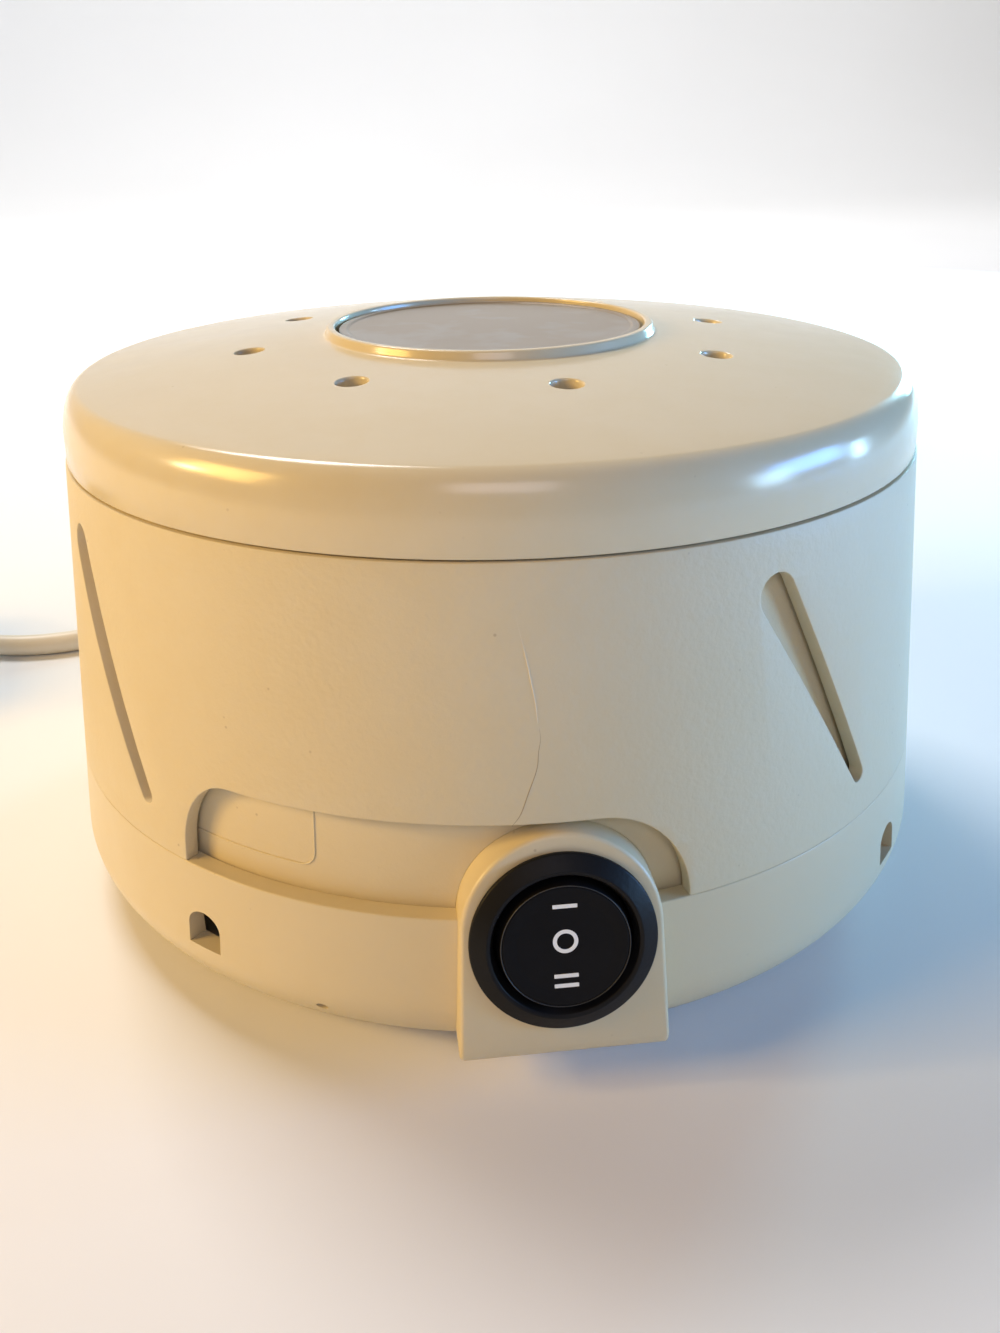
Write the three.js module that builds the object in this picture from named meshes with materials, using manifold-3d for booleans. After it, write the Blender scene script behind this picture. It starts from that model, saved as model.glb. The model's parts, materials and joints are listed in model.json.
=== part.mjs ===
// Fan-driven white-noise machine: a round table-top drum with a fan inside, a turning collar that
// opens and closes side slots, a turning domed cap with outlet holes, a round three-position rocker
// switch on the front and a mains lead out of the back. Millimetres, +Z up. The origin is on the
// table under the middle of the drum-and-switch footprint, and the switch faces -Y.
import * as THREE from 'three';
import { mergeVertices } from 'three/addons/utils/BufferGeometryUtils.js';
import Module from 'manifold-3d';

const wasm = await Module();
wasm.setup();

// ---- driving dimensions -------------------------------------------------------------------
const SEGMENTS = 40;          // facets of the large shells
const GAP = 0.3;              // clearance between pieces that touch
const WALL = 2.2;             // moulding thickness

const SEAM_Z = 73;            // joint line between cap and collar
const SEAM_R = 67.9;          // collar radius at that line
const DRAFT = 0.094;          // the drum widens by this much for each mm downwards
const LEDGE_Z = 25.2;         // top of the base band, under the collar
const BEND_Z = 11.7;          // where the base band turns in towards the underside
const UNDERSIDE_Z = 2.5;      // underside of the base, above the feet
const UNDERSIDE_R = 64.4;
const FLOOR_Z = 5;            // top of the base's floor
const BASE_INNER_R = 69.8;

const HOUSING_R = 69.4;       // inner housing, at the ledge
const HOUSING_BOTTOM = 19;
const DECK_Z = 69.2;          // top of the inner housing's deck

const CAP_R = 67.55;
const CAP_TURN_Z = 76.4;      // where the cap's skirt starts to round over
const CAP_SHOULDER_R = 64.15;
const DOME_TOP = 88.9;
const DOME_FALL = 790;        // the dome falls by r * r / DOME_FALL
const RIM_R = 26.4;           // raised rim around the badge
const RIM_TOP = 89.4;
const RIM_INNER_R = 24.6;
const OUTLET_R = 2.25;
const OUTLET_RING_R = 38.6;
const OUTLET_COUNT = 8;
const OUTLET_START = 9.2;     // degrees

const SWITCH_TILT = 11.2;     // degrees the switch face leans back
const SWITCH_Z = 23.3;
const SWITCH_REACH = 74.5;    // from the drum's axis to the switch face
const BOSS_R = 13.4;          // arched top of the switch housing
const BOSS_FOOT_R = 14.1;     // half its width at the foot
const LIP_Z = 6.1;            // underside of the lip below its face
const BEZEL_R = 12.4;
const BEZEL_CREST_R = 11;
const BEZEL_CREST = 2;
const BARREL_R = 9.9;
const ROCKER_R = 8.8;
const ROCKER_PIVOT = -1.2;    // along the switch's axis, from its face
const ROCKER_TOP = 2.2;

const NOTCH_LEFT = -43.8;     // degrees from the switch, positive to its right seen from the front
const NOTCH_RIGHT = 14.3;
const NOTCH_TOP = 38.9;
const SLOTS = [33, 121.5, 213, 301.5];
const SLOT_HEAD_Z = 64.4;      // middle of a slot's wide round end
const SLOT_HEAD_R = 3.05;
const SLOT_FOOT_Z = 32.4;      // middle of its narrow round end
const SLOT_FOOT_R = 1.3;
const SLOT_LEAN = 15.4;       // degrees the slot runs round between those middles
const SLOT_AT_R = 70;
const VENT_SLOT_SHIFT = 28;   // degrees from a collar slot to the housing slot it uncovers
const WINDOWS = [-41.5, 50.5, 138.5, 230.5];
const SCREWS = [-140, -70, 70, 140];
const SCREW_RING_R = 58;
const FEET = [-135, -45, 45, 135];
const FOOT_RING_R = 47;

const MOTOR_X = 20;           // motor screws either side of the shaft
const STACK_Z = 20;
const STACK_H = 13;
const SHAFT_R = 2;
const FAN_Z = 43;

const CORD_R = 2.5;
const COIL_R = 27.5;          // middle of the turns
const COIL_HALF_WIDTH = 7.5;
const COIL_BOTTOM = 1.1;
const COIL_HEIGHT = 20;
const COIL_X = -162;
const COIL_Y = 62.8;
const CORD_EXIT_Z = 14;
const RELIEF_END = 98;

const rad = THREE.MathUtils.degToRad;
const drumRadius = (z) => SEAM_R + DRAFT * (SEAM_Z - z);
const domeHeight = (r) => DOME_TOP - r * r / DOME_FALL;

// The footprint's middle is at the origin: the bezel's crest reaches forward, the drum back.
const FRONT_REACH = SWITCH_REACH + BEZEL_CREST_R * Math.sin(rad(SWITCH_TILT))
  + BEZEL_CREST * Math.cos(rad(SWITCH_TILT));
const AXIS_Y = (FRONT_REACH - drumRadius(BEND_Z)) / 2;

// ---- materials ----------------------------------------------------------------------------
function plain(color, roughness, metalness = 0) {
  return new THREE.MeshStandardMaterial({ color, roughness, metalness });
}
const capPlastic = plain('#ece3c8', 0.28);
const collarPlastic = plain('#ecdfbd', 0.55);
const basePlastic = plain('#efe5cb', 0.42);
const switchPlastic = plain('#161618', 0.35);
const badgePlastic = plain('#e6dcc0', 0.3);
const rubber = plain('#3a3835', 0.85);
const leadPlastic = plain('#e8e2d2', 0.5);
const steel = plain('#a9abad', 0.35, 1);
const laminations = plain('#5d5a57', 0.6, 0.8);
const copper = plain('#a4582c', 0.4, 0.9);
const brass = plain('#c2a14d', 0.35, 1);
const nylon = plain('#f3f1ea', 0.5);

// ---- joining and cutting ------------------------------------------------------------------
function solidOf(geometry) {
  const bare = geometry.clone();
  bare.deleteAttribute('normal');
  bare.deleteAttribute('uv');
  const merged = mergeVertices(bare, 1e-4);
  const triangles = [];
  for (let i = 0; i < merged.index.count; i += 3) {
    const [a, b, c] = [0, 1, 2].map((k) => merged.index.getX(i + k));
    if (a !== b && b !== c && c !== a) triangles.push(a, b, c);
  }
  return new wasm.Manifold(new wasm.Mesh({
    numProp: 3,
    vertProperties: merged.attributes.position.array,
    triVerts: new Uint32Array(triangles),
  }));
}

function geometryOf(solid) {
  const mesh = solid.getMesh();
  const geometry = new THREE.BufferGeometry();
  geometry.setAttribute('position', new THREE.BufferAttribute(mesh.vertProperties, 3));
  geometry.setIndex(new THREE.BufferAttribute(mesh.triVerts, 1));
  return geometry;
}

function join(...geometries) {
  return geometryOf(geometries.map(solidOf).reduce((sum, next) => sum.add(next)));
}

function cut(geometry, ...cutters) {
  return geometryOf(cutters.map(solidOf).reduce((rest, next) => rest.subtract(next), solidOf(geometry)));
}

function common(first, second) {
  return geometryOf(solidOf(first).intersect(solidOf(second)));
}

// ---- plain shapes -------------------------------------------------------------------------
// A solid of revolution about Z; the profile's points are [radius, height], anticlockwise.
function turned(profile, segments = SEGMENTS) {
  const points = profile.map(([r, z]) => new THREE.Vector2(r, z));
  return new THREE.LatheGeometry(points, segments).rotateX(Math.PI / 2);
}

function tube(inner, outer, bottom, top, segments = 16) {
  return turned([[inner, bottom], [outer, bottom], [outer, top], [inner, top], [inner, bottom]], segments);
}

function rod(radius, bottom, top, segments = 12) {
  return turned([[0, bottom], [radius, bottom], [radius, top], [0, top]], segments);
}

function box(width, depth, bottom, top) {
  return new THREE.BoxGeometry(width, depth, top - bottom).translate(0, 0, (top + bottom) / 2);
}

function outline(points) {
  return new THREE.Shape(points.map(([x, y]) => new THREE.Vector2(x, y)));
}

function hole(shape, x, y, radius) {
  shape.holes.push(new THREE.Path().absarc(x, y, radius, 0, 2 * Math.PI, true));
  return shape;
}

// A flat shape in XY raised from bottom to top.
function plate(shape, bottom, top, curveSegments = 8) {
  const options = { depth: top - bottom, bevelEnabled: false, curveSegments };
  return new THREE.ExtrudeGeometry(shape, options).translate(0, 0, bottom);
}

function arc(cx, cy, rx, ry, from, to, steps) {
  return Array.from({ length: steps + 1 }, (_, i) => {
    const angle = rad(from + (to - from) * i / steps);
    return [cx + rx * Math.cos(angle), cy + ry * Math.sin(angle)];
  });
}

// Degrees round the drum from the switch, positive towards +X, to a place on the drum.
function around(degrees, radius, z = 0) {
  return [radius * Math.sin(rad(degrees)), -radius * Math.cos(rad(degrees)), z];
}

// A cutter that runs out radially; its outline is in degrees round the drum and height.
function radialCutter(points, inner, outer) {
  const geometry = new THREE.ExtrudeGeometry(outline(points), { depth: outer - inner, bevelEnabled: false });
  const place = geometry.attributes.position;
  for (let i = 0; i < place.count; i += 1) {
    place.setXYZ(i, ...around(place.getX(i), inner + place.getZ(i), place.getY(i)));
  }
  return geometry;
}

// A round bar swept along a smooth curve through the points.
function swept(points, radius, sides, steps) {
  const path = new THREE.CatmullRomCurve3(points.map((p) => new THREE.Vector3(...p)), false, 'centripetal');
  const section = outline(arc(0, 0, radius, radius, 0, 360 - 360 / sides, sides - 1));
  return new THREE.ExtrudeGeometry(section, { steps, extrudePath: path, bevelEnabled: false });
}

// ---- scene graph --------------------------------------------------------------------------
const machine = new THREE.Group();
const drum = new THREE.Group();
drum.position.set(0, AXIS_Y, 0);
machine.add(drum);

const rockerSwitch = new THREE.Group();
rockerSwitch.position.set(0, -SWITCH_REACH, SWITCH_Z);
rockerSwitch.rotation.x = rad(90 - SWITCH_TILT);
drum.add(rockerSwitch);

function addPiece(parent, name, geometry, material) {
  const mesh = new THREE.Mesh(geometry, material);
  mesh.name = name;
  parent.add(mesh);
  return mesh;
}

// ---- base ---------------------------------------------------------------------------------
function windowCutter(degrees) {
  const half = 2.45;
  const arch = arc(degrees, 15.2, half, 2.6, 0, 180, 6);
  return radialCutter([[degrees - half, 12], [degrees + half, 12], ...arch], 66, 80);
}

function bossOutline(spare) {
  const foot = BOSS_FOOT_R + spare;
  const top = arc(0, 24.2, BOSS_R + spare, BOSS_R + spare, 0, 180, 12);
  return outline([[-foot, LIP_Z - spare], [foot, LIP_Z - spare], ...top]);
}

// The switch housing: its arched outline from the front, its leaning face, the lip under it.
function switchBoss() {
  const front = plate(bossOutline(0), 55, 85).rotateX(Math.PI / 2);
  const lean = Math.tan(rad(SWITCH_TILT));
  const face = (z) => [-SWITCH_REACH + (z - SWITCH_Z) * lean, z];
  const side = outline([face(40), face(8.4), [-77.1, 6.8], [-76, LIP_Z], [-62, LIP_Z], [-62, 40]]);
  const slice = plate(side, -20, 20).rotateZ(Math.PI / 2).rotateY(Math.PI / 2);
  return common(front, slice);
}

function baseShell() {
  const bend = arc(UNDERSIDE_R, BEND_Z, drumRadius(BEND_Z) - UNDERSIDE_R, BEND_Z - UNDERSIDE_Z, -90, 0, 5);
  return turned([
    [0, UNDERSIDE_Z], ...bend, [drumRadius(LEDGE_Z), LEDGE_Z], [BASE_INNER_R, LEDGE_Z],
    [BASE_INNER_R, 12], [67.5, 7.2], [61, FLOOR_Z], [0, FLOOR_Z],
  ]);
}

function baseGeometry() {
  const bosses = SCREWS.map((a) => rod(5, FLOOR_Z - 0.5, 12.7).translate(...around(a, SCREW_RING_R)));
  const posts = [-MOTOR_X, MOTOR_X].map((x) => rod(4.5, FLOOR_Z - 0.5, 13.4).translate(x, 0, 0));
  const barrel = rod(BARREL_R + GAP, -30, 10, 24)
    .rotateX(rad(90 - SWITCH_TILT)).translate(0, -SWITCH_REACH, SWITCH_Z);
  const cordHole = rod(4.6, 60, 80).rotateX(-Math.PI / 2).translate(0, 0, CORD_EXIT_Z);
  return cut(
    join(baseShell(), switchBoss(), ...bosses, ...posts),
    barrel, cordHole, ...WINDOWS.map(windowCutter),
    ...SCREWS.map((a) => rod(3.6, 2, 5.5).translate(...around(a, SCREW_RING_R))),
    ...SCREWS.map((a) => rod(1.9, 5, 13).translate(...around(a, SCREW_RING_R))),
    ...[-MOTOR_X, MOTOR_X].map((x) => rod(1.8, 6.5, 14).translate(x, 0, 0)),
  );
}

function footGeometry() {
  const top = UNDERSIDE_Z - GAP;
  return turned([[0, 0], [6, 0], [6.8, 0.8], [7, top], [0, top]], 16);
}

function screwGeometry(headR, headH, shankR, length) {
  return turned([[0, 0], [headR, 0], [headR, headH], [shankR, headH], [shankR, length], [0, length]], 12);
}

// ---- inner housing, collar and cap --------------------------------------------------------
// A slanted slot with a wide round head and a narrow round foot, joined by straight edges. The
// housing's own slots stop above the collar's notch, so none shows in it.
function slotCutter(centre, inner, outer, footZ = SLOT_FOOT_Z) {
  const perDegree = rad(1) * SLOT_AT_R;
  const run = SLOT_LEAN * perDegree;
  const drop = footZ - SLOT_HEAD_Z;
  const lean = THREE.MathUtils.radToDeg(Math.atan2(drop, run));
  const touch = THREE.MathUtils.radToDeg(Math.acos((SLOT_HEAD_R - SLOT_FOOT_R) / Math.hypot(run, drop)));
  const head = arc(-run / 2, SLOT_HEAD_Z, SLOT_HEAD_R, SLOT_HEAD_R, lean + touch, lean + 360 - touch, 7);
  const foot = arc(run / 2, footZ, SLOT_FOOT_R, SLOT_FOOT_R, lean - touch, lean + touch, 3);
  return radialCutter([...head, ...foot].map(([x, z]) => [centre + x / perDegree, z]), inner, outer);
}

function innerHousingGeometry() {
  const atDeck = HOUSING_R - DRAFT * (DECK_Z - LEDGE_Z);
  const deckUnder = DECK_Z - WALL;
  const shell = turned([
    [HOUSING_R - WALL, HOUSING_BOTTOM], [HOUSING_R, HOUSING_BOTTOM], [HOUSING_R, LEDGE_Z],
    [atDeck, DECK_Z], [5.1, DECK_Z], [5.1, deckUnder], [atDeck - WALL, deckUnder],
    [HOUSING_R - WALL, LEDGE_Z], [HOUSING_R - WALL, HOUSING_BOTTOM],
  ]);
  const ribs = SCREWS.map((a) => box(8, 14.6, 13, 30)
    .rotateZ(rad(a)).translate(...around(a, 61)));
  const vents = Array.from({ length: OUTLET_COUNT }, (_, i) => 45 * i + OUTLET_START)
    .map((a) => rod(4, 60, 75).translate(...around(a, OUTLET_RING_R)));
  const boss = plate(bossOutline(0.6), 50, 90).rotateX(Math.PI / 2);
  const apron = box(2 * BOSS_FOOT_R + 1.2, 30, 10, 24).translate(0, -70, 0);
  return cut(
    join(shell, ...ribs), boss, apron, ...vents,
    ...SLOTS.map((a) => slotCutter(a + VENT_SLOT_SHIFT, 56, 80, NOTCH_TOP + 1)),
    ...SCREWS.map((a) => rod(1.9, 12, 25).translate(...around(a, SCREW_RING_R))),
  );
}

function collarGeometry() {
  const low = LEDGE_Z + GAP;
  const high = SEAM_Z - GAP / 2;
  const flange = DECK_Z + GAP;
  const shell = turned([
    [drumRadius(low) - WALL, low], [drumRadius(low), low], [drumRadius(high), high],
    [drumRadius(high) - WALL, high], [drumRadius(flange + 2) - WALL, flange + 2], [60, flange + 2],
    [60, flange], [drumRadius(flange) - WALL, flange], [drumRadius(low) - WALL, low],
  ]);
  const leftCorner = arc(NOTCH_LEFT + 7, 28, 7, NOTCH_TOP - 28, 180, 90, 6);
  const topEdge = [-30, -24, -18, -12, -6, 0].map((a) => [a, NOTCH_TOP]);
  const rightCorner = arc(NOTCH_RIGHT - 10, 25, 10, NOTCH_TOP - 25, 90, 0, 8);
  const sides = [[NOTCH_RIGHT, 20], [NOTCH_LEFT, 20]];
  const notch = radialCutter([...leftCorner, ...topEdge, ...rightCorner, ...sides], 55, 100);
  return cut(shell, notch, ...SLOTS.map((a) => slotCutter(a, 55, 80)));
}

function capGeometry() {
  const bottom = SEAM_Z + GAP / 2;
  const inner = CAP_R - WALL;
  const shoulder = arc(CAP_SHOULDER_R, CAP_TURN_Z, CAP_R - CAP_SHOULDER_R,
    domeHeight(CAP_SHOULDER_R) - CAP_TURN_Z, 0, 90, 4);
  const dome = [46, RIM_R].map((r) => [r, domeHeight(r)]);
  const under = [46, 62].map((r) => [r, domeHeight(r) - WALL]);
  const recess = RIM_TOP - 2.4;
  const shell = turned([
    [inner, bottom], [CAP_R, bottom], ...shoulder, ...dome, [RIM_R - 0.4, RIM_TOP],
    [RIM_INNER_R + 0.3, RIM_TOP], [RIM_INNER_R, recess], [0, recess], [0, 65.2], [4.7, 65.2],
    [4.7, DECK_Z + GAP], [9, DECK_Z + GAP], [9, recess - WALL], [RIM_INNER_R, recess - WALL],
    ...under, [inner, CAP_TURN_Z], [inner, bottom],
  ]);
  const outlets = Array.from({ length: OUTLET_COUNT }, (_, i) => 45 * i + OUTLET_START)
    .map((a) => rod(OUTLET_R, 80, 92).translate(...around(a, OUTLET_RING_R)));
  return cut(shell, ...outlets, rod(1.3, 60, 76, 12));
}

function badgeGeometry() {
  const low = RIM_TOP - 2.4 + GAP;
  const edge = RIM_INNER_R - 0.4;
  return turned([[0, low], [edge, low], [edge, low + 1.4], [12, low + 1.5], [0, low + 1.5]], 32);
}

// ---- motor and fan ------------------------------------------------------------------------
function statorGeometry() {
  const shape = outline([[-24, -16], [24, -16], [24, 40], [-24, 40]]);
  hole(shape, 0, 0, 13.5);
  hole(shape, -MOTOR_X, 0, 1.8);
  hole(shape, MOTOR_X, 0, 1.8);
  shape.holes.push(new THREE.Path([[-12, 17.5], [-12, 31], [12, 31], [12, 17.5]]
    .map(([x, y]) => new THREE.Vector2(x, y))));
  return plate(shape, STACK_Z, STACK_Z + STACK_H, 12);
}

function coilCentre(geometry) {
  return geometry.translate(0, 35.5, STACK_Z + STACK_H / 2);
}

// A box ring round the stator's back limb, which runs along X.
function limbRing(innerY, innerZ, outerY, outerZ, length) {
  const shape = outline([[-outerY, -outerZ], [outerY, -outerZ], [outerY, outerZ], [-outerY, outerZ]]);
  shape.holes.push(new THREE.Path([[-innerY, -innerZ], [-innerY, innerZ], [innerY, innerZ],
    [innerY, -innerZ]].map(([x, y]) => new THREE.Vector2(x, y))));
  return plate(shape, -length / 2, length / 2).rotateZ(Math.PI / 2).rotateY(Math.PI / 2);
}

function bobbinGeometry() {
  const core = limbRing(4.8, 6.8, 5.8, 7.8, 22.6);
  const cheeks = [-1, 1].map((side) => limbRing(4.8, 6.8, 16.6, 14, 1.2).translate(side * 10.7, 0, 0));
  return coilCentre(join(core, ...cheeks));
}

function bracketGeometry(bottom, top) {
  const shape = outline([...arc(MOTOR_X, 0, 6, 6, -90, 90, 8), ...arc(-MOTOR_X, 0, 6, 6, 90, 270, 8)]);
  [[-MOTOR_X, 1.8], [MOTOR_X, 1.8], [0, 4.3]].forEach(([x, r]) => hole(shape, x, 0, r));
  return plate(shape, bottom, top);
}

function fanGeometry() {
  const hub = rod(7, FAN_Z, FAN_Z + 11, 16);
  const disc = rod(38, FAN_Z, FAN_Z + 1.6, 24);
  const blades = [0, 66, 141, 205, 288].map((a) => box(27, 1.6, FAN_Z + 0.8, FAN_Z + 14)
    .translate(24, 0, 0).rotateZ(rad(a)));
  const keyway = rod(1.2, 0, 12, 12).rotateX(Math.PI / 2).translate(0, 0, FAN_Z + 6);
  return cut(join(hub, disc, ...blades), rod(SHAFT_R + GAP, 30, 80), keyway);
}

function addMotor() {
  const stackTop = STACK_Z + STACK_H;
  addPiece(drum, 'stator', statorGeometry(), laminations);
  addPiece(drum, 'bobbin', bobbinGeometry(), nylon);
  addPiece(drum, 'winding', coilCentre(limbRing(6.1, 8.1, 15.6, 13.2, 19.4)), copper);
  addPiece(drum, 'lower_bracket', bracketGeometry(17.7, 19.7), steel);
  addPiece(drum, 'upper_bracket', bracketGeometry(stackTop + GAP, stackTop + GAP + 2), steel);
  addPiece(drum, 'lower_bearing', tube(SHAFT_R + GAP, 4, 16.7, 19.9, 16), brass);
  addPiece(drum, 'upper_bearing', tube(SHAFT_R + GAP, 4, stackTop + 0.2, stackTop + 3.6, 16), brass);
  [-MOTOR_X, MOTOR_X].forEach((x, i) => {
    addPiece(drum, `motor_grommet_${i + 1}`, tube(1.8, 5, 13.7, 17.4, 16).translate(x, 0, 0), rubber);
    const screw = screwGeometry(3, 2.2, 1.5, 28).rotateX(Math.PI).translate(x, 0, stackTop + 4.8);
    addPiece(drum, `motor_screw_${i + 1}`, screw, steel);
  });
}

function addFan() {
  addPiece(drum, 'shaft', rod(SHAFT_R, 15.4, FAN_Z + 13), steel);
  addPiece(drum, 'rotor', tube(SHAFT_R + GAP, 13, STACK_Z + 0.4, STACK_Z + STACK_H - 0.4, 32), laminations);
  addPiece(drum, 'fan_wheel', fanGeometry(), nylon);
  const grub = rod(0.9, 2.4, 6.8, 12).rotateX(Math.PI / 2).translate(0, 0, FAN_Z + 6);
  addPiece(drum, 'fan_set_screw', grub, steel);
}

// ---- switch -------------------------------------------------------------------------------
// In the switch's own frame +Z runs out of its face and the face is at 0.
function bezelGeometry() {
  return turned([
    [0, -11], [BARREL_R, -11], [BARREL_R, GAP], [BEZEL_R, GAP], [BEZEL_R - 0.1, 1.2],
    [BEZEL_CREST_R, BEZEL_CREST], [10.3, BEZEL_CREST], [9.1, 0.4], [9.1, -9], [0, -9],
  ], 28);
}

function rockerGeometry() {
  const up = ROCKER_TOP - ROCKER_PIVOT;
  const down = -5.2;
  const from = Math.asin(down / ROCKER_R) * 180 / Math.PI;
  const to = Math.asin(up / ROCKER_R) * 180 / Math.PI;
  const side = arc(0, 0, ROCKER_R, ROCKER_R, from, to, 4);
  const profile = [[0, down], ...side, [6, up - 0.25], [0, up - 0.45]];
  return turned(profile, 28).translate(0, 0, ROCKER_PIVOT);
}

function addSwitch() {
  addPiece(rockerSwitch, 'switch_body', bezelGeometry(), switchPlastic);
  addPiece(rockerSwitch, 'rocker', rockerGeometry(), switchPlastic);
  [-5, 0, 5].forEach((y, i) => {
    const blade = box(4.8, 0.8, -18.5, -11.3).translate(0, y, 0);
    addPiece(rockerSwitch, `switch_terminal_${i + 1}`, blade, brass);
  });
}

// ---- mains lead ---------------------------------------------------------------------------
function strainReliefGeometry() {
  return turned([
    [0, 64.4], [6.4, 64.4], [6.4, 66.6], [4.2, 66.6], [4.2, 74], [6.4, 74], [6.4, 76], [5.2, 76.6],
    [3.3, RELIEF_END], [0, RELIEF_END],
  ], 16).rotateX(-Math.PI / 2).translate(0, 0, CORD_EXIT_Z);
}

// The lead's middle line from the strain relief to the coil, then from the coil to the plug.
const CORD_ROUTE = [
  [0, 98.3, 14], [0, 106, 13.6], [-1.6, 114, 11.2], [-6.2, 121.6, 7.4], [-13.4, 127, 4.4],
  [-22, 129.3, 3], [-31, 127.6, 2.6], [-40, 122.8, 2.6], [-49, 116.2, 2.6], [-58, 109, 2.6],
  [-67, 101.4, 2.6], [-76, 93.8, 2.6], [-85.5, 86.6, 2.6], [-95.5, 82.4, 2.6], [-106, 81.4, 2.6],
  [-117, 83.6, 2.7], [-128, 88, 3.1], [-139, 93, 3.6],
];
const TAIL_ROUTE = [
  [-194.5, 44, 17.6], [-194.5, 37, 15.2], [-194.2, 30, 11.8], [-193, 23.5, 8.7],
  [-191.6, 17.5, 7], [-191, 12, 6.6],
];

function coilGeometry() {
  const inner = COIL_R - COIL_HALF_WIDTH;
  const outer = COIL_R + COIL_HALF_WIDTH;
  return tube(inner, outer, COIL_BOTTOM, COIL_BOTTOM + COIL_HEIGHT, 32).translate(COIL_X, COIL_Y, 0);
}

function tieGeometry() {
  const half = COIL_HALF_WIDTH + 0.6;
  const top = COIL_BOTTOM + COIL_HEIGHT + GAP;
  const band = outline([[-half - 0.8, 0], [half + 0.8, 0], [half + 0.8, top + 0.8], [-half - 0.8, top + 0.8]]);
  band.holes.push(new THREE.Path([[-half, 0.8], [-half, top], [half, top], [half, 0.8]]
    .map(([x, y]) => new THREE.Vector2(x, y))));
  return plate(band, -4, 4).rotateX(Math.PI / 2).translate(COIL_R, 0, 0)
    .rotateZ(rad(-25)).translate(COIL_X, COIL_Y, 0);
}

function addLead() {
  addPiece(drum, 'strain_relief', strainReliefGeometry(), leadPlastic);
  addPiece(drum, 'cord', swept(CORD_ROUTE, CORD_R, 8, 30), leadPlastic);
  addPiece(drum, 'cord_coil', coilGeometry(), leadPlastic);
  addPiece(drum, 'cord_tie', tieGeometry(), rubber);
  addPiece(drum, 'cord_tail', swept(TAIL_ROUTE, CORD_R, 8, 6), leadPlastic);
}

// The plug's own frame has the lead at 0 and the blades along +Z; it lies flat on the table.
function addPlug() {
  const plug = new THREE.Group();
  plug.position.set(...TAIL_ROUTE.at(-1)).add(new THREE.Vector3(0, -2 * GAP, 0));
  plug.rotation.x = Math.PI / 2;
  drum.add(plug);
  const body = turned([
    [0, 0], [3.2, 0], [4, 9], [6, 13], [10.5, 20], [11.6, 28], [11.6, 33], [0, 33],
  ], 20).scale(1, 0.56, 1);
  addPiece(plug, 'plug', body, leadPlastic);
  [-6.35, 6.35].forEach((x, i) => {
    addPiece(plug, `plug_blade_${i + 1}`, box(1.5, 6.3, 33.3, 50).translate(x, 0, 0), brass);
  });
}

// ---- assembly -----------------------------------------------------------------------------
function addShells() {
  addPiece(drum, 'base', baseGeometry(), basePlastic);
  addPiece(drum, 'inner_housing', innerHousingGeometry(), basePlastic);
  addPiece(drum, 'collar', collarGeometry(), collarPlastic);
  addPiece(drum, 'cap', capGeometry(), capPlastic);
  addPiece(drum, 'badge', badgeGeometry(), badgePlastic);
  const screw = screwGeometry(3.2, 2, 0.9, 12).translate(0, 0, 61.3);
  addPiece(drum, 'cap_washer', tube(1.4, 7.5, 63.6, 64.9, 24), steel);
  addPiece(drum, 'cap_screw', screw, steel);
}

function addFixings() {
  FEET.forEach((a, i) => {
    addPiece(drum, `foot_${i + 1}`, footGeometry().translate(...around(a, FOOT_RING_R)), rubber);
  });
  SCREWS.forEach((a, i) => {
    const screw = screwGeometry(3.2, 2.3, 1.5, 19).translate(...around(a, SCREW_RING_R, 2.9));
    addPiece(drum, `housing_screw_${i + 1}`, screw, steel);
  });
}

addShells();
addFixings();
addMotor();
addFan();
addSwitch();
addLead();
addPlug();

export default machine;
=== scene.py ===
"""Looks for a fan-driven white-noise machine: a cream drum with a turning slotted collar and cap,
a round rocker switch and a mains lead. Everything is in metres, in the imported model's frame."""
import json
import math

import bmesh
import bpy
from mathutils import Matrix, Vector


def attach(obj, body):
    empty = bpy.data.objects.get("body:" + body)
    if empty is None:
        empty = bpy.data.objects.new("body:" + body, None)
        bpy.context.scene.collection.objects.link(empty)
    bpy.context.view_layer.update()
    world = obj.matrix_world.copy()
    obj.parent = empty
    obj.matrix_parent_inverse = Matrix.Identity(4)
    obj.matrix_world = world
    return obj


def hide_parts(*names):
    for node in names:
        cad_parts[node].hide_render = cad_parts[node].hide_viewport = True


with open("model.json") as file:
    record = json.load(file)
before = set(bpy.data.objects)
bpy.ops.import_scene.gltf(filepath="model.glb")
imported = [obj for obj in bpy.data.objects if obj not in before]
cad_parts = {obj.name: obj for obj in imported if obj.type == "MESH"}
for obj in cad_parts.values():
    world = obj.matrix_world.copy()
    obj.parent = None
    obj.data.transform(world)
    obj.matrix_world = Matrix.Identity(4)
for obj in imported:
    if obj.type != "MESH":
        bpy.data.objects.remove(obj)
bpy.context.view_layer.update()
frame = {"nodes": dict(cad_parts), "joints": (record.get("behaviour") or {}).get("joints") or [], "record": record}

MM = 0.001
AXIS_Y = next(j["pos_m"][1] for j in frame["joints"] if j["name"] == "cap_turn")

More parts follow.
